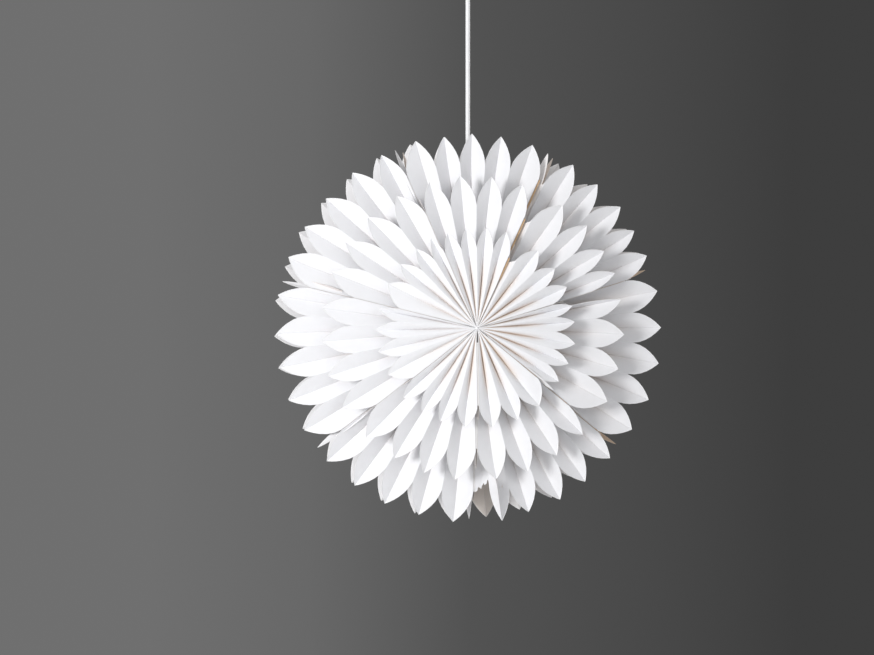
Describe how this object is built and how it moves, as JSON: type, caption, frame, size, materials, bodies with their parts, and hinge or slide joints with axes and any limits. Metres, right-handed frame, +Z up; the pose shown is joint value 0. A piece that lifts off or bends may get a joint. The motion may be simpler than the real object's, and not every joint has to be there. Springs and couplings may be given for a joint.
{
  "type": "pleated paper petal lantern",
  "caption": "Hanging lantern of pleated white paper petals in tiers round a front-to-back axis, on card ribs that fold up round the lampholder, with its cord and ceiling rose.",
  "frame": {"origin": "middle of the ceiling rose's flat top face", "axes": "+Z up, out of the rose's top face towards the ceiling; -Y is the lantern's front; the ribs fold round a line along Y through the lantern's centre, 560 mm below"},
  "size_m": [0.5979, 0.27, 0.858],
  "materials": {
    "petal_paper": "matte pleated paper",
    "rib_card": "matte card",
    "white_plastic": "satin",
    "cord_sheath": "satin",
    "bar_steel": "zinc plated",
    "cap_metal": "rolled thread",
    "bulb_glass": "opal",
    "hook_and_loop": "hook and loop"
  },
  "bodies": {
    "lamp": {"ceiling_rose": "white_plastic", "cord": "cord_sheath", "cord_grip": "white_plastic", "holder_cap": "white_plastic", "holder_body": "white_plastic"},
    "bulb": {"bulb_cap": "cap_metal", "bulb_glass": "bulb_glass"},
    "shade": {"rib_top_right": "rib_card", "rib_top_left": "rib_card", "hanging_bar": "bar_steel", "top_front_inner_petals": "petal_paper", "top_front_middle_petals": "petal_paper", "top_front_outer_petals": "petal_paper", "top_back_inner_petals": "petal_paper", "top_back_middle_petals": "petal_paper", "top_back_outer_petals": "petal_paper"},
    "left_upper": {"rib_left_upper": "rib_card", "left_upper_front_inner_petals": "petal_paper", "left_upper_front_middle_petals": "petal_paper", "left_upper_front_outer_petals": "petal_paper", "left_upper_back_inner_petals": "petal_paper", "left_upper_back_middle_petals": "petal_paper", "left_upper_back_outer_petals": "petal_paper"},
    "left_middle": {"rib_left_lower": "rib_card", "left_middle_front_inner_petals": "petal_paper", "left_middle_front_middle_petals": "petal_paper", "left_middle_front_outer_petals": "petal_paper", "left_middle_back_inner_petals": "petal_paper", "left_middle_back_middle_petals": "petal_paper", "left_middle_back_outer_petals": "petal_paper"},
    "left_end": {"rib_end_left": "rib_card", "closing_dot_left": "hook_and_loop", "left_lower_front_inner_petals": "petal_paper", "left_lower_front_middle_petals": "petal_paper", "left_lower_front_outer_petals": "petal_paper", "left_lower_back_inner_petals": "petal_paper", "left_lower_back_middle_petals": "petal_paper", "left_lower_back_outer_petals": "petal_paper"},
    "right_upper": {"rib_right_upper": "rib_card", "right_upper_front_inner_petals": "petal_paper", "right_upper_front_middle_petals": "petal_paper", "right_upper_front_outer_petals": "petal_paper", "right_upper_back_inner_petals": "petal_paper", "right_upper_back_middle_petals": "petal_paper", "right_upper_back_outer_petals": "petal_paper"},
    "right_middle": {"rib_right_lower": "rib_card", "right_middle_front_inner_petals": "petal_paper", "right_middle_front_middle_petals": "petal_paper", "right_middle_front_outer_petals": "petal_paper", "right_middle_back_inner_petals": "petal_paper", "right_middle_back_middle_petals": "petal_paper", "right_middle_back_outer_petals": "petal_paper"},
    "right_end": {"rib_end_right": "rib_card", "closing_dot_right": "hook_and_loop", "right_lower_front_inner_petals": "petal_paper", "right_lower_front_middle_petals": "petal_paper", "right_lower_front_outer_petals": "petal_paper", "right_lower_back_inner_petals": "petal_paper", "right_lower_back_middle_petals": "petal_paper", "right_lower_back_outer_petals": "petal_paper"}
  },
  "joints": [
    {"name": "shade_swivel", "type": "hinge", "parent": "lamp", "child": "shade", "pos_m": [0, 0, -0.56], "axis": [0, 0, 1], "continuous": true},
    {"name": "bulb_turn", "type": "hinge", "parent": "lamp", "child": "bulb", "pos_m": [0, 0, -0.56], "axis": [0, 0, -1], "range_deg": [0, 1080]},
    {"name": "left_fold", "type": "hinge", "parent": "shade", "child": "left_upper", "pos_m": [0, 0, -0.56], "axis": [0, -1, 0], "range_deg": [-48, 0], "deforming": ["left_upper_front_inner_petals", "left_upper_front_middle_petals", "left_upper_front_outer_petals", "left_upper_back_inner_petals", "left_upper_back_middle_petals", "left_upper_back_outer_petals"]},
    {"name": "left_fold_middle", "type": "hinge", "parent": "left_upper", "child": "left_middle", "pos_m": [0, 0, -0.56], "axis": [0, -1, 0], "range_deg": [-47, 0], "deforming": ["left_middle_front_inner_petals", "left_middle_front_middle_petals", "left_middle_front_outer_petals", "left_middle_back_inner_petals", "left_middle_back_middle_petals", "left_middle_back_outer_petals"]},
    {"name": "left_fold_end", "type": "hinge", "parent": "left_middle", "child": "left_end", "pos_m": [0, 0, -0.56], "axis": [0, -1, 0], "range_deg": [-47, 0], "deforming": ["left_lower_front_inner_petals", "left_lower_front_middle_petals", "left_lower_front_outer_petals", "left_lower_back_inner_petals", "left_lower_back_middle_petals", "left_lower_back_outer_petals"]},
    {"name": "right_fold", "type": "hinge", "parent": "shade", "child": "right_upper", "pos_m": [0, 0, -0.56], "axis": [0, -1, 0], "range_deg": [0, 43], "deforming": ["right_upper_front_inner_petals", "right_upper_front_middle_petals", "right_upper_front_outer_petals", "right_upper_back_inner_petals", "right_upper_back_middle_petals", "right_upper_back_outer_petals"]},
    {"name": "right_fold_middle", "type": "hinge", "parent": "right_upper", "child": "right_middle", "pos_m": [0, 0, -0.56], "axis": [0, -1, 0], "range_deg": [0, 51], "deforming": ["right_middle_front_inner_petals", "right_middle_front_middle_petals", "right_middle_front_outer_petals", "right_middle_back_inner_petals", "right_middle_back_middle_petals", "right_middle_back_outer_petals"]},
    {"name": "right_fold_end", "type": "hinge", "parent": "right_middle", "child": "right_end", "pos_m": [0, 0, -0.56], "axis": [0, -1, 0], "range_deg": [0, 44], "deforming": ["right_lower_front_inner_petals", "right_lower_front_middle_petals", "right_lower_front_outer_petals", "right_lower_back_inner_petals", "right_lower_back_middle_petals", "right_lower_back_outer_petals"]}
  ],
  "couplings": [
    {"joint": "left_fold_middle", "follows": "left_fold", "ratio": 0.979},
    {"joint": "left_fold_end", "follows": "left_fold", "ratio": 0.979},
    {"joint": "right_fold_middle", "follows": "right_fold", "ratio": 1.186},
    {"joint": "right_fold_end", "follows": "right_fold", "ratio": 1.023}
  ]
}
